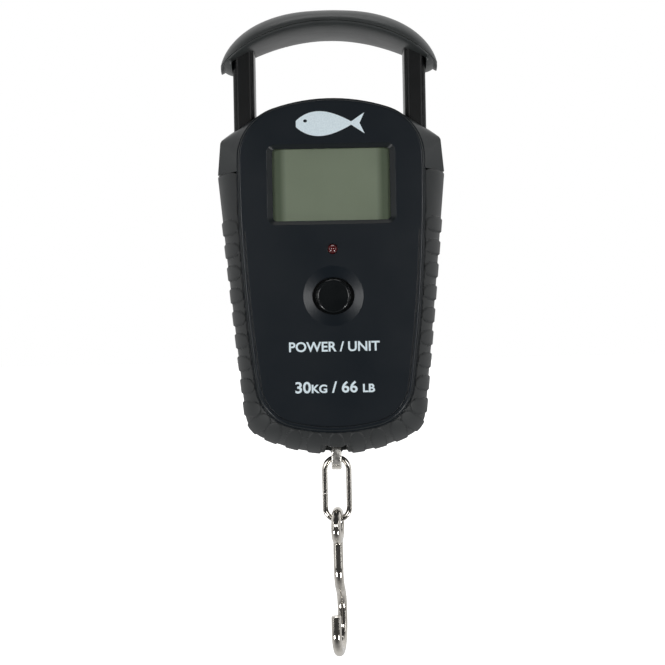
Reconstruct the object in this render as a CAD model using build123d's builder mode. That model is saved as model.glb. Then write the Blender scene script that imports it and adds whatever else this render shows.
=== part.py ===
from build123d import *
from collections import namedtuple
from math import sin, sqrt, radians
import os

# Digital hanging fish scale. Millimetres, +Z up, +X to the reader's right, display facing -Y.
# The origin is the middle of the handle's underside, on the line along which the load hangs.

# Casing
front_y, back_y = -15.0, 17.5
flank_front, flank_back = -13.6, 14.5
girth_front, girth_back = -3.5, 7.0
parting_y, parting_gap = 1.0, 0.15
wall = 2.0
neck_z = -44.0
crown_radius, bow_radius = 56.0, 54.0
belt_thickness, belt_top, belt_groove = 1.8, -44.2, 0.5
rib_pitch, rib_width, rib_rise, ribs_per_side = 7.05, 3.9, 0.45, 13
rib_margin, rib_overrun = 0.8, 2.0

# Handle
grip_half_length, grip_half_depth, grip_wall, seam_gap = 34.1, 14.0, 1.8, 0.2
grip_crown, grip_tip_z, seam_radius, seam_top, underside_radius = 7.7, -9.6, 54.0, 2.6, 57.0
grip_end, hollow_end = 33.95, 31.8
heel_x, heel_z, heel_radii, heel_sink = 29.8, -8.4, (4.15, 8.6, 3.1), 0.8
post_x, post_width, post_depth, post_foot, post_head = 26.75, 6.65, 13.0, -53.0, -4.5
post_screw_y, post_screw_radius = 3.2, 1.15

# Front panel features
window_z, window_width, window_height, window_corner = -47.9, 36.1, 22.2, 1.2
bevel_wide, bevel_tall, bevel_depth, bevel_corner = 3.2, 2.6, 1.1, 2.6
bead_inset, bead_width, bead_depth, bead_top = 1.15, 0.3, 0.3, -62.0
dish_radius, dish_depth = 9.25, 1.0
light_z, light_radius = -67.8, 1.5
button_z, button_radius = -82.2, 5.25

# Inside
board_front, board_thickness = -8.0, 1.6
boss_radius, boss_bore, boss_clearance, boss_counterbore = 3.0, 1.15, 1.35, 2.6
standoff_radius, standoff_bore = 2.2, 0.8
lead_spacing = 1.27
gauge_bore, gauge_bore_x, cell_slot = 4.2, 3.4, 1.0
yoke_thickness = 3.0
cell_width, cell_thickness, cell_top, cell_bottom = 28.0, 7.0, -56.1, -95.0
battery_y, battery_pitch, battery_top, battery_bottom = 10.25, 11.0, -61.0, -105.5
battery_radius = 5.1
door_width, door_top, door_bottom = 27.0, -57.3, -109.0

# Hanging parts
eye_z, eye_hole, eye_outer, eye_thickness = -131.55, 2.3, 5.2, 3.2
link_wire, link_radius, link_top, link_bottom = 0.875, 3.8, -132.05, -153.45
hook_wire, loop_radius, loop_z = 1.55, 4.45, -154.55
hook_yaw, bend_z, bend_out, bend_end_z, bowl_z, tip_z = -7.3, -167.5, 8.0, -182.7, -186.15, -181.5

Shield = namedtuple("Shield", "top shoulder neck heel base shoulder_r heel_r bulge")
panel = Shield(-21.9, 28.3, 28.5, 22.7, -123.6, 16.0, 14.0, 1.4)
girth = Shield(-21.0, 34.55, 35.55, 27.8, -131.2, 2.0, 9.0, 0.1)

backwards = (0, 1, 0)
os.makedirs("parts", exist_ok=True)


def save(builder, name):
    builder.part.label = name
    export_step(builder.part, f"parts/{name}.step")


def sagitta(radius, half_chord):
    return radius - sqrt(radius**2 - half_chord**2)


def grown(shield, by):
    """The same shield with its edge moved outwards by a distance."""
    return Shield(
        shield.top + by,
        shield.shoulder + by,
        shield.neck + by,
        shield.heel + by,
        shield.base - by,
        max(shield.shoulder_r + by, 1.0),
        max(shield.heel_r + by, 1.0),
        shield.bulge,
    )


def shield_face(shield, y):
    """A shield facing the reader at depth y: domed top, tapering sides, bowed bottom."""
    shoulder_z = shield.top - sagitta(crown_radius, shield.shoulder)
    heel_z = shield.base + sagitta(bow_radius, shield.heel)
    with BuildSketch(Plane.XZ.offset(-y)) as face:
        with BuildLine():
            ThreePointArc((-shield.shoulder, shoulder_z), (0, shield.top), (shield.shoulder, shoulder_z))
            ThreePointArc((-shield.heel, heel_z), (0, shield.base), (shield.heel, heel_z))
            for side in (-1, 1):
                middle = (shield.neck + shield.heel) / 2 + shield.bulge
                Line((side * shield.shoulder, shoulder_z), (side * shield.neck, neck_z))
                ThreePointArc(
                    (side * shield.neck, neck_z),
                    (side * middle, (neck_z + heel_z) / 2),
                    (side * shield.heel, heel_z),
                )
        make_face()
        levels = face.vertices().group_by(Axis.Y)
        fillet(levels[-1], shield.shoulder_r)
        levels = face.vertices().group_by(Axis.Y)
        fillet(levels[0], shield.heel_r)
    return face.sketch


def shield_solid(levels):
    """A solid with straight flanks between shields at the given depths."""
    with BuildPart() as solid:
        loft([shield_face(shield, y) for y, shield in levels], ruled=True)
    return solid.part


def slab(low, high):
    """A box between two corners, kept out of any open part."""
    size = [b - a for a, b in zip(low, high)]
    middle = [(a + b) / 2 for a, b in zip(low, high)]
    return Pos(*middle) * Box(*size, mode=Mode.PRIVATE)


def rod(x, z, y_from, y_to, radius):
    """A round bar along Y, kept out of any open part."""
    length = y_to - y_from
    bar = Cylinder(radius, length, rotation=(90, 0, 0), mode=Mode.PRIVATE)
    return Pos(x, y_from + length / 2, z) * bar


def pillar(x, y, z_from, z_to, radius):
    """A round bar along Z, kept out of any open part."""
    length = z_to - z_from
    return Pos(x, y, z_from + length / 2) * Cylinder(radius, length, mode=Mode.PRIVATE)


# Envelope of the casing, the core that the belt lies on, and the hollow inside
rim = grown(panel, belt_groove)
envelope = shield_solid([(flank_front, rim), (girth_front, girth), (girth_back, girth), (flank_back, rim)])
core_rim, core_girth = grown(rim, -belt_thickness), grown(girth, -belt_thickness)
core = shield_solid(
    [(flank_front, core_rim), (girth_front, core_girth), (girth_back, core_girth), (flank_back, core_rim)]
)
hollow_rim, hollow_girth = grown(panel, -wall - 0.2), grown(girth, -belt_thickness - wall)
hollow = shield_solid(
    [
        (front_y + wall, hollow_rim),
        (girth_front, hollow_girth),
        (girth_back, hollow_girth),
        (back_y - wall, hollow_rim),
    ]
)
outside, far = 60.0, 250.0

# Slot in the bottom for the load eye
eye_slot = slab((-3.8, -8.5, -140), (3.8, 5.7, -122))

with BuildPart() as tower:
    extrude(shield_face(rim, front_y - 1), amount=back_y - front_y + 2, dir=backwards)

# Recess for the belt: everything between envelope and core, outside the panels, below the shoulders
with BuildPart() as belt_seat:
    add(envelope)
    add(core, mode=Mode.SUBTRACT)
    add(tower.part, mode=Mode.SUBTRACT)
    add(slab((-outside, -outside, belt_top + 0.8), (outside, outside, 0)), mode=Mode.SUBTRACT)


# Grip belt: a rubber band round both sides and the bottom, with a rib every pitch
def belt_path():
    """The right half of the widest outline, from the middle of the bottom up to the neck."""
    edges = shield_face(girth, 0).edges()
    half = edges.filter_by(lambda e: e.center().X > 1 and e.center().Z < neck_z)
    bow = edges.sort_by(Axis.Z)[0]
    right = bow.trim(0.5, 1.0) if bow.position_at(1).X > 0 else bow.trim(0.0, 0.5)
    return Wire([right] + list(half))


def rib_faces():
    """Round-ended slots, one for each rib, laid across the belt's width."""
    path = belt_path()
    panel_edge = shield_face(panel, 0).faces()[0].outer_wire()
    from_bottom = path.position_at(0).X < 1
    places = []
    for number in range(ribs_per_side + 1):
        distance = number * rib_pitch
        place = distance if from_bottom else path.length - distance
        point = path.position_at(place, position_mode=PositionMode.LENGTH)
        along = path.tangent_at(place, position_mode=PositionMode.LENGTH)
        inward = Vector(0, 1, 0).cross(along)
        if inward.X > 0 or (number == 0 and inward.Z < 0):
            inward = inward * -1
        reach = panel_edge.distance_to(point) - rib_margin
        places.append((point, inward, reach))
    with BuildSketch(Plane.XZ.offset(outside / 2)) as faces:
        for number, (point, inward, reach) in enumerate(places):
            sides = (1,) if number == 0 else (-1, 1)
            for side in sides:
                start = (side * (point.X - rib_overrun * inward.X), point.Z - rib_overrun * inward.Z)
                tip = reach - rib_width / 2
                end = (side * (point.X + tip * inward.X), point.Z + tip * inward.Z)
                middle = ((start[0] + end[0]) / 2, (start[1] + end[1]) / 2)
                add(SlotCenterPoint(middle, end, rib_width, mode=Mode.PRIVATE))
    return faces.sketch


with BuildPart() as ribs:
    extrude(rib_faces(), amount=outside, dir=backwards)
    proud_rim, proud_girth = grown(rim, rib_rise), grown(girth, rib_rise)
    proud = shield_solid(
        [(flank_front, proud_rim), (girth_front, proud_girth), (girth_back, proud_girth), (flank_back, proud_rim)]
    )
    add(proud, mode=Mode.INTERSECT)
    add(core, mode=Mode.SUBTRACT)
    add(tower.part, mode=Mode.SUBTRACT)

with BuildPart() as grip_belt:
    add(belt_seat.part)
    add(slab((-outside, -outside, belt_top), (outside, outside, 0)), mode=Mode.SUBTRACT)
    add(ribs.part)
    add(eye_slot, mode=Mode.SUBTRACT)
save(grip_belt, "grip_belt")

# Casing shells
screw_seat_y = 12.0
case_screw_places = [(-14.0, -29.2), (14.0, -29.2), (-18.0, -110.5), (18.0, -110.5)]
board_screw_places = [(-19.0, -66.0), (19.0, -66.0), (-16.0, -96.5), (16.0, -96.5)]
post_slots = [
    slab((side * post_x - 3.45, -6.65, post_foot - 8), (side * post_x + 3.45, 6.65, -10)) for side in (-1, 1)
]


def panel_pad(y_face, y_root, edge_radius):
    """The raised flat panel of one shell, with a rounded edge."""
    with BuildPart() as pad:
        extrude(shield_face(panel, y_root), amount=y_face - y_root, dir=backwards)
        outer = pad.faces().sort_by(Axis.Y)[0 if y_face < y_root else -1]
        fillet(outer.edges(), edge_radius)
    return pad.part


def button_oval(extra, y):
    """The oval round the button, a little wider than tall, facing the reader."""
    with BuildSketch(Plane.XZ.offset(-y)) as oval:
        with Locations((0, button_z)):
            Ellipse(6.45 + extra, 5.7 + extra)
    return oval.sketch


with BuildPart() as front_shell:
    add(envelope)
    add(belt_seat.part, mode=Mode.SUBTRACT)
    add(hollow, mode=Mode.SUBTRACT)
    add(panel_pad(front_y, flank_front, 0.7))
    add(slab((-outside, parting_y, -far), (outside, outside, 0)), mode=Mode.SUBTRACT)
    # Thin groove just inside the panel's edge, dying out towards the top
    with BuildPart(mode=Mode.PRIVATE) as bead_groove:
        extrude(shield_face(grown(panel, -bead_inset), front_y - 1), amount=1 + bead_depth, dir=backwards)
        inner = shield_face(grown(panel, -bead_inset - bead_width), front_y - 1)
        extrude(inner, amount=1 + bead_depth, dir=backwards, mode=Mode.SUBTRACT)
        add(slab((-outside, -outside, bead_top), (outside, outside, 0)), mode=Mode.SUBTRACT)
    add(bead_groove.part, mode=Mode.SUBTRACT)
    # Bevelled display opening
    with BuildSketch(Plane.XZ.offset(-front_y)):
        with Locations((0, window_z)):
            RectangleRounded(window_width + bevel_wide, window_height + bevel_tall, bevel_corner)
    with BuildSketch(Plane.XZ.offset(-front_y - bevel_depth)):
        with Locations((0, window_z)):
            RectangleRounded(window_width, window_height, window_corner)
    loft(ruled=True, mode=Mode.SUBTRACT)
    with BuildSketch(Plane.XZ.offset(-front_y)):
        with Locations((0, window_z)):
            RectangleRounded(window_width, window_height, window_corner)
    extrude(amount=-4, mode=Mode.SUBTRACT)
    # Shallow dish with a soft edge, and the oval opening for the button
    sphere_radius = (dish_radius**2 + dish_depth**2) / (2 * dish_depth)
    with Locations((0, front_y - sphere_radius + dish_depth, button_z)):
        Sphere(sphere_radius, mode=Mode.SUBTRACT)
    # Light hole
    add(rod(0, light_z, front_y - 1, front_y + 4, light_radius + 0.08), mode=Mode.SUBTRACT)
    # Guide ring behind the button
    add(rod(0, button_z, front_y + wall - 0.3, -10.2, 9.0))
    add(rod(0, button_z, front_y + wall, -10.1, 8.0), mode=Mode.SUBTRACT)
    extrude(button_oval(0, front_y - 1), amount=4, dir=backwards, mode=Mode.SUBTRACT)
    # Screw bosses, cut square at the parting, and stand-offs for the board
    for x, z in case_screw_places:
        add(rod(x, z, front_y + wall - 0.2, parting_y, boss_radius))
        add(rod(x, z, -9.0, parting_y + 1, boss_bore), mode=Mode.SUBTRACT)
    for x, z in board_screw_places:
        add(rod(x, z, front_y + wall - 0.2, board_front, standoff_radius))
        add(rod(x, z, front_y + wall + 0.5, board_front + 1, standoff_bore), mode=Mode.SUBTRACT)
    add(eye_slot, mode=Mode.SUBTRACT)
    for slot in post_slots:
        add(slot, mode=Mode.SUBTRACT)
save(front_shell, "front_shell")

door_recess = slab((-door_width / 2, 12.0, door_bottom), (door_width / 2, back_y + 1, door_top))
tray_out = slab((-13.5, 3.8, door_bottom - 1), (13.5, back_y - wall + 0.3, door_top + 1))
tray_in = slab((-12.3, 4.8, door_bottom + 0.2), (12.3, back_y + 1, door_top - 0.2))

with BuildPart() as rear_shell:
    add(envelope)
    add(belt_seat.part, mode=Mode.SUBTRACT)
    add(hollow, mode=Mode.SUBTRACT)
    add(panel_pad(back_y, flank_back, 1.2))
    rear_start = parting_y + parting_gap
    add(slab((-outside, -outside, -far), (outside, rear_start, 0)), mode=Mode.SUBTRACT)
    add(tray_out)
    add(tray_in, mode=Mode.SUBTRACT)
    add(slab((-door_width / 2, 15.6, door_bottom), (door_width / 2, 20, door_top)), mode=Mode.SUBTRACT)
    # Thumb notch above the battery door, and two sockets for its hinge tabs below
    add(slab((-4.2, 15.0, door_top - 1), (4.2, 20, door_top + 3.2)), mode=Mode.SUBTRACT)
    for side in (-1, 1):
        socket = slab((side * 8.5 - 2.2, 14.4, door_bottom - 4.2), (side * 8.5 + 2.2, 20, door_bottom + 1))
        add(socket, mode=Mode.SUBTRACT)
    for x, z in case_screw_places:
        add(rod(x, z, rear_start, back_y - wall + 0.2, boss_radius))
        add(rod(x, z, 0, back_y + 1, boss_clearance), mode=Mode.SUBTRACT)
        add(rod(x, z, screw_seat_y, back_y + 1, boss_counterbore), mode=Mode.SUBTRACT)
    add(eye_slot, mode=Mode.SUBTRACT)
    for slot in post_slots:
        add(slot, mode=Mode.SUBTRACT)
save(rear_shell, "rear_shell")

# Battery door, hinged on two rounded tabs at its lower edge
hinge_z, hinge_y, tab_radius = door_bottom - 2.6, 15.9, 1.0
tab_x, tab_half = 8.5, 2.0
with BuildPart() as battery_door:
    gap = 0.2
    add(slab((-door_width / 2 + gap, 15.8, door_bottom + 0.45), (door_width / 2 - gap, 17.4, door_top - gap)))
    fillet(battery_door.edges().filter_by(Axis.Y), 1.2)
    fillet(battery_door.faces().sort_by(Axis.Y)[-1].edges(), 0.4)
    for side in (-1, 1):
        tab = Cylinder(tab_radius, 2 * tab_half, rotation=(0, 90, 0), mode=Mode.PRIVATE)
        add(Pos(side * tab_x, hinge_y, hinge_z) * tab)
        low = (side * tab_x - tab_half, hinge_y - 0.1, hinge_z)
        add(slab(low, (side * tab_x + tab_half, hinge_y + 0.9, door_bottom + 1.5)))
    # Latch tongue at the top, and grip lines for the thumb
    add(slab((-3.6, 15.8, door_top - 1), (3.6, 17.2, door_top + 1.6)))
    for row in range(5):
        z = door_top - 4.0 - 1.6 * row
        add(slab((-7, 17.1, z - 0.35), (7, 18, z + 0.35)), mode=Mode.SUBTRACT)
save(battery_door, "battery_door")

# Display: clear window behind the opening, the panel in its holder, and two connector strips
with BuildPart() as display_window:
    with BuildSketch(Plane.XZ.offset(13.9)):
        with Locations((0, window_z)):
            RectangleRounded(window_width, window_height, window_corner)
    extrude(amount=-1.2)
    with BuildSketch(Plane.XZ.offset(12.9)):
        with Locations((0, window_z)):
            RectangleRounded(window_width + 3.0, window_height + 2.6, 1.5)
    extrude(amount=-0.6)
save(display_window, "display_window")

lcd_width, lcd_height = 40.4, 26.0
with BuildPart() as lcd_panel:
    add(slab((-lcd_width / 2, -12.2, window_z - lcd_height / 2), (lcd_width / 2, -10.8, window_z + lcd_height / 2)))
    rear_drop = 2.0
    rear_glass = slab(
        (-lcd_width / 2, -10.8, window_z - lcd_height / 2 + rear_drop),
        (lcd_width / 2, -9.4, window_z + lcd_height / 2 - rear_drop),
    )
    add(rear_glass)
save(lcd_panel, "lcd_panel")

with BuildPart() as lcd_holder:
    add(slab((-22.4, -12.2, window_z - 15.0), (22.4, -8.0, window_z + 15.0)))
    hole_x, hole_z = lcd_width / 2 + 0.1, lcd_height / 2 + 0.1
    add(slab((-hole_x, -20, window_z - hole_z), (hole_x, 0, window_z + hole_z)), mode=Mode.SUBTRACT)
    fillet(lcd_holder.edges().filter_by(Axis.Y).group_by(Axis.Z)[0], 1.0)
save(lcd_holder, "lcd_holder")

with BuildPart() as zebra_strips:
    for side in (-1, 1):
        z = window_z + side * (lcd_height / 2 - 1.0)
        add(slab((-17, -10.8, z - 0.9), (17, -8.0, z + 0.9)))
save(zebra_strips, "zebra_strips")

# Main board with its parts
board_back = board_front + board_thickness
with BuildPart() as main_board:
    add(slab((-22.5, board_front, -64.2), (22.5, board_back, -34.5)))
    add(slab((-21.5, board_front, -99.0), (21.5, board_back, -64.0)))
    fillet(main_board.edges().filter_by(Axis.Y).group_by(Axis.Z)[0], 2.0)
    fillet(main_board.edges().filter_by(Axis.Y).group_by(Axis.Z)[-1], 2.0)
    for x, z in board_screw_places:
        add(rod(x, z, -10, 0, 1.15), mode=Mode.SUBTRACT)
    for side in (-1, 1):
        add(rod(side * lead_spacing, light_z, -10, 0, 0.4), mode=Mode.SUBTRACT)
save(main_board, "main_board")

blob_radius, blob_height, blob_x, blob_z = 11.0, 1.5, 11.0, -80.0
blob_centre_y = board_back - (blob_radius - blob_height)
with BuildPart() as controller_blob:
    with Locations((blob_x, blob_centre_y, blob_z)):
        Sphere(blob_radius)
    add(slab((-outside, -outside, -far), (outside, board_back, 0)), mode=Mode.SUBTRACT)
save(controller_blob, "controller_blob")

with BuildPart() as board_screws:
    for x, z in board_screw_places:
        add(rod(x, z, board_front - 3.5, board_back + 0.01, 0.78))
        add(rod(x, z, board_back, board_back + 1.3, 1.7))
        add(slab((x - 1.2, board_back + 0.8, z - 0.2), (x + 1.2, board_back + 2, z + 0.2)), mode=Mode.SUBTRACT)
        add(slab((x - 0.2, board_back + 0.8, z - 1.2), (x + 0.2, board_back + 2, z + 1.2)), mode=Mode.SUBTRACT)
save(board_screws, "board_screws")

# Indicator light: a domed barrel with a flange, and two leads into the board
with BuildPart() as indicator_light:
    add(rod(0, light_z, -14.6, -11.0, light_radius))
    with Locations((0, -14.6, light_z)):
        Sphere(light_radius)
    add(rod(0, light_z, -12.4, -11.4, 1.9))
save(indicator_light, "indicator_light")

with BuildPart() as light_leads:
    for side in (-1, 1):
        add(rod(side * lead_spacing, light_z, -11.0, board_back + 0.8, 0.25))
save(light_leads, "light_leads")

# Push switch on the board, its plunger, and the button cap with an oval flange behind the panel
plunger_tip, flange_front = -12.6, front_y + wall + 0.05
with BuildPart() as switch_body:
    add(slab((-3, -11.5, button_z - 3), (3, board_front, button_z + 3)))
    fillet(switch_body.edges().filter_by(Axis.Y), 0.4)
    add(rod(0, button_z, -12, -9.6, 1.8), mode=Mode.SUBTRACT)
save(switch_body, "switch_body")

with BuildPart() as switch_plunger:
    add(rod(0, button_z, plunger_tip, -10.1, 1.75))
save(switch_plunger, "switch_plunger")

with BuildPart() as power_button:
    add(rod(0, button_z, front_y - 0.35, plunger_tip, button_radius))
    fillet(power_button.faces().sort_by(Axis.Y)[0].edges(), 0.8)
    extrude(button_oval(0.9, flange_front), amount=plunger_tip - flange_front, dir=backwards)
save(power_button, "power_button")

# Load cell: an S-shaped aluminium block with a double bore between its two slots
with BuildPart() as load_cell:
    middle_z = (cell_top + cell_bottom) / 2
    add(slab((-cell_width / 2, -cell_thickness / 2, cell_bottom), (cell_width / 2, cell_thickness / 2, cell_top)))
    for side in (-1, 1):
        z = middle_z + side * 9.5
        ends = sorted((side * (cell_width / 2 + 1), -side * (cell_width / 2 - 4.5)))
        add(slab((ends[0], -10, z - cell_slot), (ends[1], 10, z + cell_slot)), mode=Mode.SUBTRACT)
        add(rod(side * gauge_bore_x, middle_z, -10, 10, gauge_bore), mode=Mode.SUBTRACT)
    add(slab((-gauge_bore_x, -10, middle_z - 2), (gauge_bore_x, 10, middle_z + 2)), mode=Mode.SUBTRACT)
    add(pillar(0, 0, cell_top - 7, cell_top + 1, 1.95), mode=Mode.SUBTRACT)
    add(pillar(0, 0, cell_bottom - 1, cell_bottom + 7, 1.95), mode=Mode.SUBTRACT)
save(load_cell, "load_cell")

# Gauges on the thin webs over each bore, inside the slots
with BuildPart() as strain_gauges:
    for slot_side in (-1, 1):
        z = middle_z + slot_side * 8.5
        for side in (-1, 1):
            x = side * gauge_bore_x
            low, high = sorted((z, z + slot_side * 0.15))
            add(slab((x - 2.2, -2.5, low), (x + 2.2, 2.5, high)))
save(strain_gauges, "strain_gauges")

# Yoke plate: carries the posts on top and the load cell below
yoke_top = post_foot
yoke_bottom = yoke_top - yoke_thickness
with BuildPart() as yoke_plate:
    add(slab((-30, -5.5, yoke_bottom), (30, 5.5, yoke_top)))
    fillet(yoke_plate.edges().filter_by(Axis.Z), 2.0)
    add(pillar(0, 0, -70, 0, 2.1), mode=Mode.SUBTRACT)
    for side in (-1, 1):
        for y in (-post_screw_y, post_screw_y):
            add(pillar(side * post_x, y, -70, 0, 1.3), mode=Mode.SUBTRACT)
save(yoke_plate, "yoke_plate")


def screw(x, y, seat_z, heading, shank_radius, length, head_radius, head_height):
    """A pan-head screw along Z with its head seated at a height; heading is the way it points."""
    tip = seat_z + heading * length
    crown = seat_z - heading * head_height
    with BuildPart() as piece:
        add(pillar(x, y, min(seat_z, tip), max(seat_z, tip), shank_radius))
        add(pillar(x, y, min(seat_z, crown), max(seat_z, crown), head_radius))
        cross = head_radius * 0.65
        floor_z = crown + heading * head_height * 0.5
        low, high = sorted((floor_z, crown - heading))
        add(slab((x - cross, y - 0.3, low), (x + cross, y + 0.3, high)), mode=Mode.SUBTRACT)
        add(slab((x - 0.3, y - cross, low), (x + 0.3, y + cross, high)), mode=Mode.SUBTRACT)
    return piece.part


with BuildPart() as cell_screw:
    add(screw(0, 0, yoke_top, -1, 1.9, 9.4, 3.5, 2.4))
save(cell_screw, "cell_screw")

with BuildPart() as post_screws:
    for side in (-1, 1):
        for y in (-post_screw_y, post_screw_y):
            add(screw(side * post_x, y, yoke_bottom, 1, post_screw_radius, 10, 2.3, 1.7))
save(post_screws, "post_screws")


# Handle
def seam_z(x):
    return seam_top - sagitta(seam_radius, abs(x))


def crown_z(x):
    """Top of the handle: a flattened dome that slopes away to a tip at each end."""
    return grip_tip_z + (grip_crown - grip_tip_z) * max(1 - abs(x / grip_half_length) ** 2.5, 0) ** 0.6


def underside_z(x):
    return -sagitta(underside_radius, abs(x))


def grip_depth(x):
    return grip_half_depth * sqrt(1 - (abs(x) / (grip_half_length + 0.4)) ** 4)


def grip_half(edge_z, inset, end, sink=0.0):
    """One half of the handle, above or below its seam, from half ellipses at stations along X.

    A sink carries the flat side past the seam, so that a hollow opens cleanly.
    """
    stations = [x for x in (0, 9, 17, 24, 29, 31.2, 33.0) if x < end - 0.3] + [end]
    sections = []
    for x in [-s for s in reversed(stations[1:])] + stations:
        depth = grip_depth(x) - inset
        height = edge_z(x) - seam_z(x)
        height -= inset if height > 0 else -inset
        base_z = seam_z(x) if height > 0 else seam_z(x) - seam_gap
        height = height if height > 0 else height + seam_gap
        with BuildSketch(Plane.YZ.offset(x)) as section:
            with BuildLine():
                start = 0 if height > 0 else 180
                EllipticalCenterArc((0, base_z), depth, abs(height), start, arc_size=180)
                if sink:
                    floor_z = base_z - sink if height > 0 else base_z + sink
                    Polyline((-depth, base_z), (-depth, floor_z), (depth, floor_z), (depth, base_z))
                else:
                    Line((-depth, base_z), (depth, base_z))
            make_face()
        sections.append(section.sketch)
    with BuildPart() as half:
        loft(sections)
    return half.part


def post_prism(clearance, z_from, z_to):
    """Both posts as plain bars with rounded corners."""
    with BuildPart() as bars:
        with BuildSketch(Plane.XY.offset(z_from)):
            with Locations((-post_x, 0), (post_x, 0)):
                RectangleRounded(post_width + 2 * clearance, post_depth + 2 * clearance, 1.7 + clearance)
        extrude(amount=z_to - z_from)
    return bars.part


with BuildPart() as handle_cover:
    add(grip_half(crown_z, 0, grip_end))
    add(grip_half(crown_z, grip_wall, hollow_end, sink=1.0), mode=Mode.SUBTRACT)
save(handle_cover, "handle_cover")

# Rounded heels under the ends of the grip, outside the posts and below the seam
with BuildPart() as end_heels:
    for side in (-1, 1):
        ball = scale(Sphere(1, mode=Mode.PRIVATE), by=heel_radii, mode=Mode.PRIVATE)
        add(Pos(side * heel_x, 0, heel_z) * ball)
    with BuildSketch(Plane.XZ.offset(grip_half_depth), mode=Mode.PRIVATE) as above_seam:
        with BuildLine():
            reach = grip_half_length + 2
            arch = ThreePointArc(*[(x, seam_z(x) - heel_sink) for x in (-reach, 0, reach)])
            Polyline(arch @ 0, (-reach, grip_crown), (reach, grip_crown), arch @ 1)
        make_face()
    extrude(above_seam.sketch, amount=2 * grip_half_depth, dir=backwards, mode=Mode.SUBTRACT)
    heel_inside = post_x + post_width / 2 + 0.2
    add(slab((-heel_inside, -outside, -outside), (heel_inside, outside, outside)), mode=Mode.SUBTRACT)

with BuildPart() as handle_underside:
    add(grip_half(underside_z, 0, grip_end))
    add(post_prism(0.05, -20, 20), mode=Mode.SUBTRACT)
    add(end_heels.part)
save(handle_underside, "handle_underside")

# Spine inside the cover, in one piece with the two posts
spine_reach, spine_height, spine_depth = 29.0, 2.5, 10.0
with BuildPart() as handle_frame:
    with BuildSketch(Plane.XZ.offset(spine_depth / 2)):
        with BuildLine():
            low = [(x, seam_z(x) + 0.05) for x in (-spine_reach, 0, spine_reach)]
            arch = ThreePointArc(*low)
            top = ThreePointArc(*[(x, z + spine_height) for x, z in low])
            Line(arch @ 0, top @ 0)
            Line(arch @ 1, top @ 1)
        make_face()
    extrude(amount=-spine_depth)
    add(post_prism(0, post_foot, post_head))
    for side in (-1, 1):
        for y in (-post_screw_y, post_screw_y):
            add(pillar(side * post_x, y, post_foot - 1, post_foot + 9, post_screw_radius), mode=Mode.SUBTRACT)
save(handle_frame, "handle_frame")

# Cells, springs and contacts
with BuildPart() as aaa_cells:
    for side in (-1, 1):
        x = side * battery_pitch / 2
        add(pillar(x, battery_y, battery_bottom, battery_top, battery_radius))
        plus = battery_top if side > 0 else battery_bottom
        add(pillar(x, battery_y, min(plus, plus + side * 0.8), max(plus, plus + side * 0.8), 1.9))
save(aaa_cells, "aaa_cells")

with BuildPart() as battery_plates:
    add(slab((-11.4, 6.6, door_top - 0.6), (11.4, 13.9, door_top - 0.25)))
    for side in (-1, 1):
        x = side * battery_pitch / 2
        add(slab((x - 4.4, 6.6, door_bottom + 0.25), (x + 4.4, 13.9, door_bottom + 0.6)))
save(battery_plates, "battery_plates")

with BuildPart() as battery_springs:
    for side in (-1, 1):
        x = side * battery_pitch / 2
        base = door_top - 0.6 if side < 0 else door_bottom + 0.6
        tip = battery_top + 0.1 if side < 0 else battery_bottom - 0.1
        low, high = min(base, tip) + 0.3, max(base, tip) - 0.3
        spiral = Pos(x, battery_y, low) * Helix(
            pitch=(high - low) / 3, height=high - low, radius=2.6, mode=Mode.PRIVATE
        )
        with BuildPart(mode=Mode.PRIVATE) as coil:
            with BuildSketch(Plane(spiral @ 0, z_dir=spiral % 0)):
                Circle(0.27)
            sweep(path=spiral, is_frenet=True)
        add(coil.part)
save(battery_springs, "battery_springs")


def wire(points, radius):
    """A thin round wire through points, with smooth bends."""
    with BuildPart() as lead:
        with BuildLine(mode=Mode.PRIVATE) as route:
            Spline(*points)
        with BuildSketch(Plane(route.line @ 0, z_dir=route.line % 0)):
            Circle(radius)
        sweep(path=route.line)
    return lead.part


with BuildPart() as battery_leads:
    for side in (-1, 1):
        x = side * battery_pitch / 2
        start = (side * 15.6, 9.0, door_bottom + 3)
        add(wire([start, (side * 18.5, 4.0, -104), (side * 19.2, -2.0, -99), (side * 18.6, -5.2, -92)], 0.6))
save(battery_leads, "battery_leads")

with BuildPart() as gauge_leads:
    for number, side in enumerate((-1, -1, 1, 1)):
        z = middle_z + (9.2 if number % 2 else -9.2)
        reach = 15.6 + 0.9 * (number % 2)
        points = [(side * 14.8, -1.0, z), (side * (reach + 1), -2.6, z + 2), (side * 16.5, -5.6, z + 5)]
        add(wire(points, 0.3))
save(gauge_leads, "gauge_leads")

with BuildPart() as case_screws:
    for x, z in case_screw_places:
        add(rod(x, z, -7.5, 12.0, 1.12))
        add(rod(x, z, 12.0, 13.8, 2.4))
        add(slab((x - 1.6, 13.0, z - 0.3), (x + 1.6, 15, z + 0.3)), mode=Mode.SUBTRACT)
        add(slab((x - 0.3, 13.0, z - 1.6), (x + 0.3, 15, z + 1.6)), mode=Mode.SUBTRACT)
save(case_screws, "case_screws")

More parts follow.
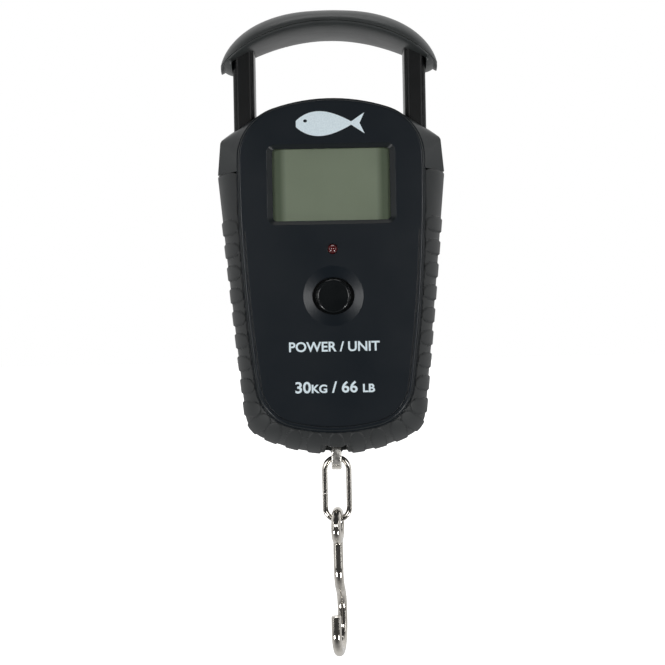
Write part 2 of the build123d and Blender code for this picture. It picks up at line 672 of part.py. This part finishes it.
# Load eye: a flat ring seen edge-on, with a fully rounded hole, on a round shank
with BuildPart() as load_eye:
    with BuildSketch(Plane.YZ.offset(-eye_thickness / 2)):
        with Locations((0, eye_z)):
            Circle(eye_outer)
        with Locations((0, eye_z + 6.0)):
            Rectangle(6.4, 6.4)
        with Locations((0, eye_z)):
            Circle(eye_hole, mode=Mode.SUBTRACT)
    extrude(amount=eye_thickness)
    bore = load_eye.edges().filter_by(GeomType.CIRCLE).filter_by(lambda e: abs(e.radius - eye_hole) < 0.01)
    fillet(bore, 1.5)
    rims = load_eye.edges().filter_by(lambda e: abs(abs(e.center().X) - eye_thickness / 2) < 0.01)
    outer = rims.filter_by(lambda e: e.geom_type != GeomType.CIRCLE or abs(e.radius - eye_outer) < 0.01)
    fillet(outer, 0.55)
    add(pillar(0, 0, eye_z + 9, cell_bottom + 6.5, 1.9))
save(load_eye, "load_eye")

with BuildPart() as eye_nut:
    with BuildSketch(Plane.XY.offset(cell_bottom - 3.3)):
        RegularPolygon(4.04, 6)
        Circle(1.95, mode=Mode.SUBTRACT)
    extrude(amount=3.2)
save(eye_nut, "eye_nut")

# Chain link: round wire bent to an oval, its ends meeting in the left leg
link_upper, link_lower = link_top - link_wire - link_radius, link_bottom + link_wire + link_radius
joint_z, joint_gap = -144.2, 0.12
with BuildPart() as chain_link:
    with BuildLine(Plane.XZ) as oval:
        Line((-link_radius, joint_z + joint_gap), (-link_radius, link_upper))
        ThreePointArc((-link_radius, link_upper), (0, link_upper + link_radius), (link_radius, link_upper))
        Line((link_radius, link_upper), (link_radius, link_lower))
        ThreePointArc((link_radius, link_lower), (0, link_lower - link_radius), (-link_radius, link_lower))
        Line((-link_radius, link_lower), (-link_radius, joint_z))
    with BuildSketch(Plane(oval.line @ 0, z_dir=oval.line % 0)):
        Circle(link_wire)
    sweep(path=oval.line)
save(chain_link, "chain_link")

# Hook: closed eye, straight shank, a bend to the rear, the bowl and a square-cut tip
hook_plane = Plane((0, 0, 0), x_dir=(-sin(radians(hook_yaw)), 1, 0), z_dir=(1, sin(radians(hook_yaw)), 0))
with BuildPart() as hook:
    drop = bend_z - bend_end_z
    bend_mid = (bend_out / 2, bend_z - drop / 2)
    loop_foot = loop_z - loop_radius
    with BuildLine(hook_plane) as shank:
        Line((0, loop_foot), (0, bend_z))
        first = TangentArc((0, bend_z), bend_mid, tangent=(0, -1))
        TangentArc(bend_mid, (bend_out, bend_end_z), tangent=first % 1)
        Line((bend_out, bend_end_z), (bend_out, bowl_z))
        ThreePointArc((bend_out, bowl_z), (0, bowl_z - bend_out), (-bend_out, bowl_z))
        Line((-bend_out, bowl_z), (-bend_out, tip_z))
    with BuildSketch(Plane(shank.line @ 0, z_dir=shank.line % 0)):
        Circle(hook_wire)
    sweep(path=shank.line)
    tip_face = hook.faces().filter_by(GeomType.PLANE).sort_by(Axis.Y)[0]
    chamfer(tip_face.edges(), 0.25)
    add(hook_plane * Pos(0, loop_z, 0) * Torus(loop_radius, hook_wire, mode=Mode.PRIVATE))
save(hook, "hook")
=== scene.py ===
import bpy
import bmesh
import math
import numpy as np
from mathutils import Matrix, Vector


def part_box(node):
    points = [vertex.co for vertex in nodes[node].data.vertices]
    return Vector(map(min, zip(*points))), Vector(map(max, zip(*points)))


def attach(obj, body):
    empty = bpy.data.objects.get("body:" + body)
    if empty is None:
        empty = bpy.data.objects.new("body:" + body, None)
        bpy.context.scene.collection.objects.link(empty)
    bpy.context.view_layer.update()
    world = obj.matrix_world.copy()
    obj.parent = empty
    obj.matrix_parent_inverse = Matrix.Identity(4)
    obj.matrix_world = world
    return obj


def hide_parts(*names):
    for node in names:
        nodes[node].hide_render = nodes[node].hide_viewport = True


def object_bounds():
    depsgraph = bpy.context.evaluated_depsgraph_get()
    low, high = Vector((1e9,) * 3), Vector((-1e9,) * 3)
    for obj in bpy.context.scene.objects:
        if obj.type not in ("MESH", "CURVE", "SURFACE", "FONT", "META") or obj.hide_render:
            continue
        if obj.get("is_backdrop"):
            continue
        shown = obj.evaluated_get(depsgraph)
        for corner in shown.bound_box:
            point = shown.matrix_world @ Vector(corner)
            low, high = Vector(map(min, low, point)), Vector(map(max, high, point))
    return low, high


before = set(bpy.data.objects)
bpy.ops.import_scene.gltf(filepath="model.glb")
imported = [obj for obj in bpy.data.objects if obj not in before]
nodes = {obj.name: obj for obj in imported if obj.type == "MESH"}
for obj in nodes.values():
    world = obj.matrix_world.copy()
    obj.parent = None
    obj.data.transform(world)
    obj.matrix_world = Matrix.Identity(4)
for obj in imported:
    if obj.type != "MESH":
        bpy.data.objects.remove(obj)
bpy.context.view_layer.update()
MM = 0.001


# Node material helpers

def srgb(red, green, blue):
    """Linear colour from 8-bit display values."""
    def linear(value):
        value /= 255
        return value / 12.92 if value <= 0.04045 else ((value + 0.055) / 1.055) ** 2.4
    return (linear(red), linear(green), linear(blue), 1.0)


class Shader:
    """A material under construction: short names for the nodes used below."""

    def __init__(self, name):
        self.material = bpy.data.materials.new(name)
        self.material.use_nodes = True
        self.tree = self.material.node_tree
        self.surface = self.tree.nodes["Principled BSDF"]
        self.output = self.tree.nodes["Material Output"]
        self.place = self.node("TexCoord").outputs["Object"]

    def node(self, kind, **settings):
        made = self.tree.nodes.new("ShaderNode" + kind)
        for key, value in settings.items():
            setattr(made, key, value)
        return made

    def feed(self, socket, value):
        if isinstance(value, bpy.types.NodeSocket):
            self.tree.links.new(value, socket)
        else:
            socket.default_value = value

    def noise(self, size, detail=3.0, rough=0.5, stretch=(1, 1, 1)):
        """Noise from 0 to 1 with features of a given size in metres."""
        mapping = self.node("Mapping")
        self.feed(mapping.inputs["Vector"], self.place)
        mapping.inputs["Scale"].default_value = stretch
        texture = self.node("TexNoise")
        self.feed(texture.inputs["Vector"], mapping.outputs[0])
        texture.inputs["Scale"].default_value = 1 / size
        texture.inputs["Detail"].default_value = detail
        texture.inputs["Roughness"].default_value = rough
        return texture.outputs["Fac"]

    def ramp(self, value, low, high, out_low=0.0, out_high=1.0):
        made = self.node("MapRange", clamp=True)
        for socket, number in zip(made.inputs[:5], (value, low, high, out_low, out_high)):
            self.feed(socket, number)
        return made.outputs[0]

    def math(self, operation, first, second=0.0):
        made = self.node("Math", operation=operation)
        self.feed(made.inputs[0], first)
        self.feed(made.inputs[1], second)
        return made.outputs[0]

    def mix(self, factor, first, second):
        """A blend of two colours. The colour sockets of a Mix node are inputs 6 and 7 and output 2."""
        made = self.node("Mix", data_type="RGBA")
        self.feed(made.inputs[0], factor)
        self.feed(made.inputs[6], first)
        self.feed(made.inputs[7], second)
        return made.outputs[2]

    def axis(self, index, source=None):
        split = self.node("SeparateXYZ")
        self.feed(split.inputs[0], source or self.place)
        return split.outputs[index]

    def bevel(self, radius):
        made = self.node("Bevel", samples=6)
        made.inputs["Radius"].default_value = radius
        return made.outputs[0]

    def edges(self, radius):
        """1 along sharp edges, 0 on flats: how far the rounded normal leans from the face's own."""
        cosine_on_flats, cosine_on_edges = 0.995, 0.86
        rounded = self.bevel(radius)
        own = self.node("NewGeometry").outputs["Normal"]
        lean = self.node("VectorMath", operation="DOT_PRODUCT")
        self.feed(lean.inputs[0], rounded)
        self.feed(lean.inputs[1], own)
        return self.ramp(lean.outputs["Value"], cosine_on_flats, cosine_on_edges)

    def bump(self, height, strength, distance, normal=None):
        made = self.node("Bump")
        made.inputs["Strength"].default_value = strength
        made.inputs["Distance"].default_value = distance
        self.feed(made.inputs["Height"], height)
        if normal is not None:
            self.feed(made.inputs["Normal"], normal)
        return made.outputs[0]

    def finish(self, colour, roughness, normal=None, metallic=0.0, specular=0.5):
        self.feed(self.surface.inputs["Base Color"], colour)
        self.feed(self.surface.inputs["Roughness"], roughness)
        self.feed(self.surface.inputs["Metallic"], metallic)
        self.feed(self.surface.inputs["Specular IOR Level"], specular)
        if normal is not None:
            self.feed(self.surface.inputs["Normal"], normal)
        return self.material


def tint(colour, factor):
    return (colour[0] * factor, colour[1] * factor, colour[2] * factor, 1.0)


def moulded(name, colour, roughness, grain, depth, edge=0.15 * MM, wear=1.35, specular=0.5, seam_shade_y=None):
    """Moulded plastic or rubber: fine grain, faint mottling, edges a little polished and paler.

    With a seam depth given, a thin dark line of painted shade runs across the piece at that depth, standing
    in for the shadow in a shallow seam groove.
    """
    line_outer, line_inner = 0.22 * MM, 0.08 * MM
    s = Shader(name)
    mottle = s.noise(9 * MM, 4)
    speckle = s.noise(grain, 3, 0.6)
    base = s.mix(s.ramp(mottle, 0.3, 0.7), tint(colour, 0.9), tint(colour, 1.1))
    base = s.mix(s.ramp(speckle, 0.35, 0.75, 0.0, 0.35), base, tint(colour, 1.25))
    rim = s.edges(edge)
    base = s.mix(rim, base, tint(colour, wear))
    if seam_shade_y is not None:
        away = s.math("ABSOLUTE", s.math("SUBTRACT", s.axis(1), seam_shade_y))
        # Painted shade: the seam groove's shadow as a thin dark line.
        base = s.mix(s.ramp(away, line_outer, line_inner), base, tint(colour, 0.3))
    rough = s.ramp(mottle, 0.2, 0.8, roughness - 0.04, roughness + 0.05)
    normal = s.bump(speckle, 0.35, depth, s.bevel(edge))
    return s.finish(base, rough, normal, specular=specular)


def metal(name, colour, roughness, edge=0.12 * MM, streak=(1, 1, 1), dull=0.12):
    """Plated or milled metal: streaked roughness, small pits and a little tarnish."""
    s = Shader(name)
    streaks = s.noise(1.2 * MM, 2, 0.5, streak)
    tarnish = s.noise(2.5 * MM, 4, 0.65)
    base = s.mix(s.ramp(tarnish, 0.45, 0.8), colour, tint(colour, 0.62))
    rough = s.math("ADD", s.ramp(streaks, 0.3, 0.75, roughness * 0.7, roughness * 1.5),
                   s.ramp(tarnish, 0.5, 0.8, 0.0, dull))
    normal = s.bump(streaks, 0.12, 0.01 * MM, s.bevel(edge))
    return s.finish(base, rough, normal, metallic=1.0)


def wear_node(name, material):
    """Gives a CAD node its material in every slot."""
    mesh = nodes[name].data
    mesh.materials.clear()
    mesh.materials.append(material)
    for polygon in mesh.polygons:
        polygon.material_index = 0


# Materials

PANEL = srgb(8, 18, 26)
# Painted reflection: the lighter grey painted on the casing's sloping flanks, in place of the bright
# surroundings they mirror.
FLANK_SHEEN = srgb(30, 34, 35)
RUBBER = srgb(30, 33, 34)
GRIP = srgb(48, 51, 51)
POST = srgb(7, 9, 10)
BUTTON = srgb(7, 11, 13)
RESIN = srgb(18, 18, 19)
PALE = srgb(222, 222, 214)
SLEEVE = srgb(150, 22, 22)
TRACKS_PER_METRE, ELASTOMER_STRIPES, FOIL_STRIPES = 300, 900, 700


def casing_plastic():
    """Satin black plastic with painted reflection: its sloping flanks are painted greyer than the flat panel,
    standing in for the bright surroundings they reflect.
    """
    s = Shader("casing_plastic")
    facing = s.math("ABSOLUTE", s.axis(1, s.node("NewGeometry").outputs["Normal"]))
    facing_on_panel, facing_on_flank = 0.93, 0.80
    slope = s.ramp(facing, facing_on_panel, facing_on_flank)
    mottle = s.noise(14 * MM, 3)
    speckle = s.noise(0.35 * MM, 3, 0.6)
    # Painted reflection: surfaces turned away from the camera take the lighter flank grey.
    base = s.mix(slope, PANEL, FLANK_SHEEN)
    base = s.mix(s.ramp(mottle, 0.3, 0.7, 0.0, 0.25), base, tint(PANEL, 0.8))
    base = s.mix(s.ramp(speckle, 0.5, 0.8, 0.0, 0.18), base, tint(FLANK_SHEEN, 0.8))
    rim = s.edges(0.2 * MM)
    base = s.mix(s.math("MULTIPLY", rim, 0.35), base, tint(FLANK_SHEEN, 1.3))
    normal = s.bump(speckle, 0.2, 0.012 * MM, s.bevel(0.25 * MM))
    rough = s.ramp(mottle, 0.2, 0.8, 0.27, 0.33)
    shine = s.ramp(slope, 0, 1, 0.4, 0.12)
    return s.finish(base, rough, normal, specular=shine)


def window_plastic():
    """Thin clear window: mostly see-through, with a reflection that grows at grazing angles."""
    s = Shader("window_plastic")
    clear = s.node("BsdfTransparent")
    clear.inputs[0].default_value = (0.95, 0.97, 0.95, 1)
    gloss = s.node("BsdfGlossy")
    smear = s.noise(7 * MM, 3)
    s.feed(gloss.inputs["Roughness"], s.ramp(smear, 0.3, 0.7, 0.04, 0.12))
    fresnel = s.node("Fresnel")
    fresnel.inputs["IOR"].default_value = 1.35
    blend = s.node("MixShader")
    s.feed(blend.inputs[0], fresnel.outputs[0])
    s.feed(blend.inputs[1], clear.outputs[0])
    s.feed(blend.inputs[2], gloss.outputs[0])
    s.feed(s.output.inputs["Surface"], blend.outputs[0])
    s.tree.nodes.remove(s.surface)
    return s.material


def display_glass():
    """Unlit display: grey-green with a darker margin at the left and right of the viewing area."""
    s = Shader("display_glass")
    low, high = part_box("display_window")
    hidden_edge, margin_start, margin_end = 1.5 * MM, 4.2 * MM, 2.2 * MM
    half = (high[0] - low[0]) / 2 - hidden_edge
    across = s.math("ABSOLUTE", s.axis(0))
    margin = s.ramp(across, half - margin_start, half - margin_end)
    cloud = s.noise(10 * MM, 2)
    grid = s.noise(0.5 * MM, 1)
    base = s.mix(s.ramp(cloud, 0.3, 0.7), srgb(180, 187, 168), srgb(184, 191, 172))
    base = s.mix(s.ramp(grid, 0.45, 0.75, 0.0, 0.2), base, srgb(170, 178, 158))
    base = s.mix(margin, base, srgb(128, 137, 118))
    return s.finish(base, s.ramp(cloud, 0.2, 0.8, 0.28, 0.4), s.bump(grid, 0.1, 0.01 * MM), specular=0.3)


def red_lens():
    s = Shader("red_lens")
    flow = s.noise(1.1 * MM, 2)
    base = s.mix(s.ramp(flow, 0.35, 0.7), srgb(86, 12, 18), srgb(58, 8, 12))
    made = s.finish(base, s.ramp(flow, 0.2, 0.8, 0.06, 0.12), s.bump(flow, 0.05, 0.02 * MM), specular=0.7)
    s.surface.inputs["Coat Weight"].default_value = 0.6
    return made


def circuit_board():
    """Green solder mask over copper tracks."""
    s = Shader("circuit_board")
    brick = s.node("TexBrick", offset=0.5)
    mapping = s.node("Mapping")
    s.feed(mapping.inputs["Vector"], s.place)
    mapping.inputs["Rotation"].default_value = (math.pi / 2, 0, 0)
    s.feed(brick.inputs["Vector"], mapping.outputs[0])
    brick.inputs["Scale"].default_value = TRACKS_PER_METRE
    brick.inputs["Mortar Size"].default_value = 0.03
    cloud = s.noise(6 * MM, 3)
    mask = s.mix(s.ramp(cloud, 0.3, 0.7), srgb(14, 74, 40), srgb(18, 88, 48))
    base = s.mix(brick.outputs["Fac"], mask, srgb(40, 120, 66))
    return s.finish(base, 0.32, s.bump(brick.outputs["Fac"], 0.3, 0.04 * MM))


def striped_elastomer():
    s = Shader("striped_elastomer")
    wave = s.node("TexWave", bands_direction="X")
    s.feed(wave.inputs["Vector"], s.place)
    wave.inputs["Scale"].default_value = ELASTOMER_STRIPES
    base = s.mix(wave.outputs["Fac"], srgb(205, 130, 150), srgb(40, 36, 38))
    return s.finish(base, 0.6, s.bump(s.noise(0.4 * MM), 0.2, 0.02 * MM))


def gauge_foil():
    s = Shader("gauge_foil")
    wave = s.node("TexWave", bands_direction="X")
    s.feed(wave.inputs["Vector"], s.place)
    wave.inputs["Scale"].default_value = FOIL_STRIPES
    base = s.mix(wave.outputs["Fac"], srgb(214, 158, 60), srgb(150, 90, 30))
    return s.finish(base, 0.35, s.bump(wave.outputs["Fac"], 0.3, 0.02 * MM))


def cell_jacket():
    """Plain shrink sleeve of a dry cell, with a pale band near one end."""
    s = Shader("cell_jacket")
    cell_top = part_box("aaa_cells")[1][2]
    band_foot, band_full = 13 * MM, 12.6 * MM
    band = s.ramp(s.axis(2), cell_top - band_foot, cell_top - band_full)
    flow = s.noise(5 * MM, 3)
    base = s.mix(band, srgb(44, 52, 66), srgb(168, 122, 60))
    base = s.mix(s.ramp(flow, 0.4, 0.8, 0.0, 0.2), base, srgb(90, 92, 96))
    return s.finish(base, s.ramp(flow, 0.3, 0.7, 0.18, 0.3), s.bump(flow, 0.1, 0.05 * MM), metallic=0.3)


def white_ink():
    """Pad-printed white ink, a little thin in places."""
    s = Shader("white_ink")
    thin = s.noise(0.5 * MM, 3, 0.6)
    base = s.mix(s.ramp(thin, 0.35, 0.75), srgb(226, 240, 246), srgb(206, 222, 230))
    return s.finish(base, 0.5, s.bump(thin, 0.2, 0.01 * MM))


def backdrop_paint():
    """White paint that glows: evenly for the camera, and for the object only from under and behind it."""
    s = Shader("backdrop_paint")
    tone = s.noise(0.4, 2)
    pale = s.mix(s.ramp(tone, 0.3, 0.7), (0.93, 0.93, 0.93, 1), (0.9, 0.9, 0.9, 1))
    seen = s.node("LightPath").outputs["Is Camera Ray"]
    base = s.mix(seen, (0.08, 0.08, 0.08, 1), pale)
    s.feed(s.surface.inputs["Emission Color"], pale)
    glow = s.ramp(s.axis(1), -0.4, 0.2, 0.02, 0.75)
    s.feed(s.surface.inputs["Emission Strength"], s.math("MAXIMUM", seen, glow))
    return s.finish(base, 0.9, s.bump(s.noise(2 * MM), 0.05, 0.05 * MM), specular=0.0)


casing = casing_plastic()
rubber = moulded(
    "belt_rubber", RUBBER, roughness=0.52, grain=0.3 * MM, depth=0.03 * MM, edge=0.2 * MM, wear=1.25,
    specular=0.4,
)
grip_look = dict(roughness=0.42, grain=0.35 * MM, depth=0.03 * MM, edge=0.2 * MM, wear=1.3)
grip_plastic = moulded("grip_plastic", GRIP, **grip_look)
# The underside carries a painted-shade seam line at y = -6 mm.
grip_lower = moulded("grip_lower", GRIP, seam_shade_y=-6 * MM, **grip_look)
post_plastic = moulded(
    "post_plastic", POST, roughness=0.36, grain=0.5 * MM, depth=0.02 * MM, edge=0.2 * MM, wear=1.5,
    specular=0.3,
)
button_plastic = moulded(
    "button_plastic", BUTTON, roughness=0.2, grain=0.3 * MM, depth=0.005 * MM, edge=0.2 * MM, wear=1.6,
    specular=0.4,
)
resin = moulded("black_resin", RESIN, roughness=0.25, grain=0.4 * MM, depth=0.02 * MM)
pale_plastic = moulded("pale_plastic", PALE, roughness=0.45, grain=0.4 * MM, depth=0.02 * MM, wear=1.05)
nickel = metal("nickel_wire", (0.62, 0.59, 0.54, 1), 0.1, dull=0.08)
zinc = metal("zinc_steel", (0.8, 0.78, 0.73, 1), 0.3, dull=0.2)
aluminium = metal("milled_aluminium", (0.74, 0.75, 0.76, 1), 0.3, streak=(1, 1, 0.08))
plated = metal("plated_steel", (0.6, 0.6, 0.58, 1), 0.22)
screw_steel = metal("screw_steel", (0.62, 0.62, 0.6, 1), 0.25)
black_steel = metal("black_steel", (0.06, 0.06, 0.065, 1), 0.35)
red_sleeve = moulded("red_sleeve", SLEEVE, roughness=0.4, grain=0.3 * MM, depth=0.02 * MM)

for group, material in (
    (("front_shell", "rear_shell", "battery_door"), casing),
    (("handle_cover",), grip_plastic),
    (("handle_underside",), grip_lower),
    (("handle_frame",), post_plastic),
    (("power_button", "switch_plunger"), button_plastic),
    (("controller_blob", "switch_body"), resin),
    (("lcd_holder",), pale_plastic),
    (("lcd_panel",), display_glass()),
    (("display_window",), window_plastic()),
    (("indicator_light",), red_lens()),
    (("main_board",), circuit_board()),
    (("zebra_strips",), striped_elastomer()),
    (("strain_gauges",), gauge_foil()),
    (("aaa_cells",), cell_jacket()),
    (("load_cell",), aluminium),
    (("yoke_plate", "battery_plates", "battery_springs", "light_leads"), plated),
    (("cell_screw", "post_screws", "board_screws", "eye_nut"), screw_steel),
    (("case_screws",), black_steel),
    (("battery_leads", "gauge_leads"), red_sleeve),
    (("chain_link", "hook"), nickel),
    (("load_eye",), zinc),
):
    for name in group:
        wear_node(name, material)


# Pieces

def new_piece(name, mesh, material, body):
    piece = bpy.data.objects.new(name, mesh)
    bpy.context.scene.collection.objects.link(piece)
    mesh.materials.clear()
    mesh.materials.append(material)
    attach(piece, body)
    return piece


def apply_modifiers(piece):
    """Replaces the piece's mesh with the result of its modifiers."""
    graph = bpy.context.evaluated_depsgraph_get()
    mesh = bpy.data.meshes.new_from_object(piece.evaluated_get(graph))
    piece.modifiers.clear()
    piece.data = mesh


def smooth(mesh):
    for polygon in mesh.polygons:
        polygon.use_smooth = True


def soft_belt():
    """The rubber belt: the CAD band rounded all over, with its sloping faces crowned."""
    crown = 1.0 * MM
    weld, voxel = 0.002 * MM, 0.2 * MM
    girth_front, girth_back, hub_height = -3.5 * MM, 7.0 * MM, 38 * MM
    low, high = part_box("grip_belt")
    shape = bmesh.new()
    shape.from_mesh(nodes["grip_belt"].data)
    bmesh.ops.remove_doubles(shape, verts=shape.verts, dist=weld)
    bmesh.ops.recalc_face_normals(shape, faces=shape.faces)
    mesh = bpy.data.meshes.new("rubber_belt")
    shape.to_mesh(mesh)
    shape.free()
    piece = new_piece("rubber_belt", mesh, rubber, "casing")
    remesh = piece.modifiers.new("voxels", "REMESH")
    remesh.mode = "VOXEL"
    remesh.voxel_size = voxel
    relax = piece.modifiers.new("relax", "SMOOTH")
    relax.factor = 0.5
    relax.iterations = 1
    apply_modifiers(piece)
    mesh = piece.data
    count = len(mesh.vertices)
    places, normals = np.empty(count * 3), np.empty(count * 3)
    mesh.vertices.foreach_get("co", places)
    mesh.vertices.foreach_get("normal", normals)
    places, normals = places.reshape(-1, 3), normals.reshape(-1, 3)
    depth = places[:, 1]
    along = np.where(depth < girth_front, (girth_front - depth) / (girth_front - low[1]), 0)
    along = np.where(depth > girth_back, (depth - girth_back) / (high[1] - girth_back), along)
    hub = np.array([0, 0, 1]) * np.clip(places[:, 2:3], low[2] + hub_height, None)
    outward = places * np.array([1, 0, 1]) - hub
    rise = crown * 4 * along * (1 - along) * ((normals * outward).sum(axis=1) > 0)
    mesh.vertices.foreach_set("co", (places + normals * rise[:, None]).ravel())
    mesh.update()
    smooth(mesh)
    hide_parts("grip_belt")


def fit_flat(mesh, width, height, centre, thickness):
    """Scales a flat mesh drawn in XY into a box in XZ that stands on the panel, facing the reader."""
    xs = [v.co.x for v in mesh.vertices]
    ys = [v.co.y for v in mesh.vertices]
    zs = [v.co.z for v in mesh.vertices]
    (left, right), (bottom, top), (back, front) = [(min(values), max(values)) for values in (xs, ys, zs)]
    for vertex in mesh.vertices:
        x = (vertex.co.x - (left + right) / 2) * width / (right - left)
        z = (vertex.co.y - (bottom + top) / 2) * height / (top - bottom)
        lift = (vertex.co.z - back) / (front - back) * thickness
        vertex.co = (centre[0] + x, centre[1] - lift, centre[2] + z)


def printed(name, curve, width, height, z):
    """Turns a flat curve into a thin printed piece of a given size on the panel."""
    source = bpy.data.objects.new(name + "_outline", curve)
    bpy.context.scene.collection.objects.link(source)
    graph = bpy.context.evaluated_depsgraph_get()
    mesh = bpy.data.meshes.new_from_object(source.evaluated_get(graph))
    bpy.data.objects.remove(source)
    panel_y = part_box("front_shell")[0][1]
    fit_flat(mesh, width, height, (0, panel_y, z), INK_THICKNESS)
    new_piece(name, mesh, ink, "casing")


def legend(name, words, width, height, z):
    """Plain printed words on the panel, with small capitals for the lower-case letters."""
    curve = bpy.data.curves.new(name, "FONT")
    curve.body = words
    curve.size = 1
    curve.extrude = 0.02
    curve.offset = 0.022
    curve.resolution_u = 4
    curve.small_caps_scale = 0.72
    for letter, style in zip(words, curve.body_format):
        style.use_small_caps = letter.islower()
    printed(name, curve, width, height, z)


def fish_mark(width, height, z):
    """A plain fish pictogram: a lens-shaped body with a forked tail and a round eye."""
    steps, body_length, body_half, tail_half = 28, 1.62, 0.40, 0.055
    eye_x, eye_z, eye_radius, eye_steps = -0.68, 0.1, 0.055, 16

    def flank(t, side):
        bulge = body_half * math.sin(math.pi * t ** 0.8) ** 0.9
        return (-1.0 + body_length * t, side * bulge + side * tail_half * t)

    outline = [flank(i / steps, 1) for i in range(steps + 1)]
    outline += [(1.0, 0.36), (0.86, 0.0), (1.0, -0.36)]
    outline += [flank(1 - i / steps, -1) for i in range(steps + 1)]
    turns = [2 * math.pi * i / eye_steps for i in range(eye_steps)]
    eye = [(eye_x + eye_radius * math.cos(a), eye_z + eye_radius * math.sin(a)) for a in turns]
    curve = bpy.data.curves.new("fish", "CURVE")
    curve.dimensions = "2D"
    curve.fill_mode = "BOTH"
    curve.extrude = 0.02
    for points in (outline[1:-1], eye):
        spline = curve.splines.new("POLY")
        spline.points.add(len(points) - 1)
        for point, (x, y) in zip(spline.points, points):
            point.co = (x, y, 0, 1)
        spline.use_cyclic_u = True
    printed("fish_mark", curve, width, height, z)


INK_THICKNESS = 0.03 * MM
ink = white_ink()
soft_belt()
fish_mark(21 * MM, 7.6 * MM, -29.4 * MM)
button_low, button_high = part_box("power_button")
button_z = (button_low[2] + button_high[2]) / 2
legend("button_legend", "POWER / UNIT", 27.8 * MM, 3.1 * MM, button_z - 15.5 * MM)
legend("capacity_legend", "30kg / 66 lb", 24.4 * MM, 3.6 * MM, button_z - 27.9 * MM)


# Stage, light and camera

def area(name, place, target, size, power):
    lamp = bpy.data.lights.new(name, "AREA")
    lamp.shape = "RECTANGLE"
    lamp.size, lamp.size_y = size
    lamp.energy = power
    holder = bpy.data.objects.new(name, lamp)
    holder.location = place
    holder.rotation_euler = (Vector(target) - Vector(place)).to_track_quat("-Z", "Y").to_euler()
    bpy.context.scene.collection.objects.link(holder)


def studio_world():
    """White for the camera. Light and reflections come from behind the object, little from in front of it."""
    front, back, dim, bright = -0.4, 0.3, 0.05, 0.95
    world = bpy.data.worlds.new("studio")
    world.use_nodes = True
    tree = world.node_tree
    background = tree.nodes["Background"]
    place = tree.nodes.new("ShaderNodeTexCoord")
    split = tree.nodes.new("ShaderNodeSeparateXYZ")
    tree.links.new(place.outputs["Generated"], split.inputs[0])
    fall = tree.nodes.new("ShaderNodeMapRange")
    for socket, number in zip(fall.inputs[1:5], (front, back, dim, bright)):
        socket.default_value = number
    tree.links.new(split.outputs[1], fall.inputs[0])
    path = tree.nodes.new("ShaderNodeLightPath")
    pick = tree.nodes.new("ShaderNodeMix")
    tree.links.new(path.outputs["Is Camera Ray"], pick.inputs[0])
    tree.links.new(fall.outputs[0], pick.inputs[2])
    pick.inputs[3].default_value = 1.0
    background.inputs[0].default_value = (1, 1, 1, 1)
    tree.links.new(pick.outputs[0], background.inputs[1])
    bpy.context.scene.world = world


def floor():
    """A wide pale floor well below the hook, as the scale hangs in the air."""
    clearance, reach = 500 * MM, 30.0
    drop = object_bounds()[0][2] - clearance
    mesh = bpy.data.meshes.new("floor")
    mesh.from_pydata(
        [(-reach, -reach, drop), (reach, -reach, drop), (reach, reach, drop), (-reach, reach, drop)],
        [], [(0, 1, 2, 3)],
    )
    mesh.materials.append(backdrop_paint())
    plane = bpy.data.objects.new("floor", mesh)
    bpy.context.scene.collection.objects.link(plane)
    plane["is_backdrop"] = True


def camera():
    """Square on to the display, turned about a degree so that the object leans to the left."""
    distance, below_window, aside, lean = 450 * MM, 33.1 * MM, -0.5 * MM, math.radians(1.1)
    panel_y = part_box("front_shell")[0][1]
    window_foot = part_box("display_window")[0][2]
    lens = bpy.data.cameras.new("camera")
    lens.sensor_width = 36
    lens.lens = 79.6
    lens.clip_start = 0.01
    holder = bpy.data.objects.new("camera", lens)
    holder.location = (aside, panel_y - distance, window_foot - below_window)
    holder.rotation_euler = (math.radians(90), lean, 0)
    bpy.context.scene.collection.objects.link(holder)
    bpy.context.scene.camera = holder


floor()
studio_world()
middle = Vector((0, -15 * MM, -80 * MM))
light_distance = 0.9
for side, name in ((-1, "left"), (1, "right")):
    for part, direction, size, power in (
        ("softbox", (0.66, -0.47, -0.58), (0.16, 0.16), 2.6),
        ("fill", (0.40, -0.90, 0.06), (0.2, 0.2), 1.35),
        ("edge_strip", (0.93, -0.36, 0.02), (0.12, 0.6), 0.8),
    ):
        place = middle + light_distance * Vector((side * direction[0], direction[1], direction[2]))
        area(f"{name}_{part}", place, middle, size, power)
area("top_softbox", (0, -0.15, light_distance), middle, (0.9, 0.4), 3)
camera()
bpy.context.scene.view_settings.view_transform = "Standard"
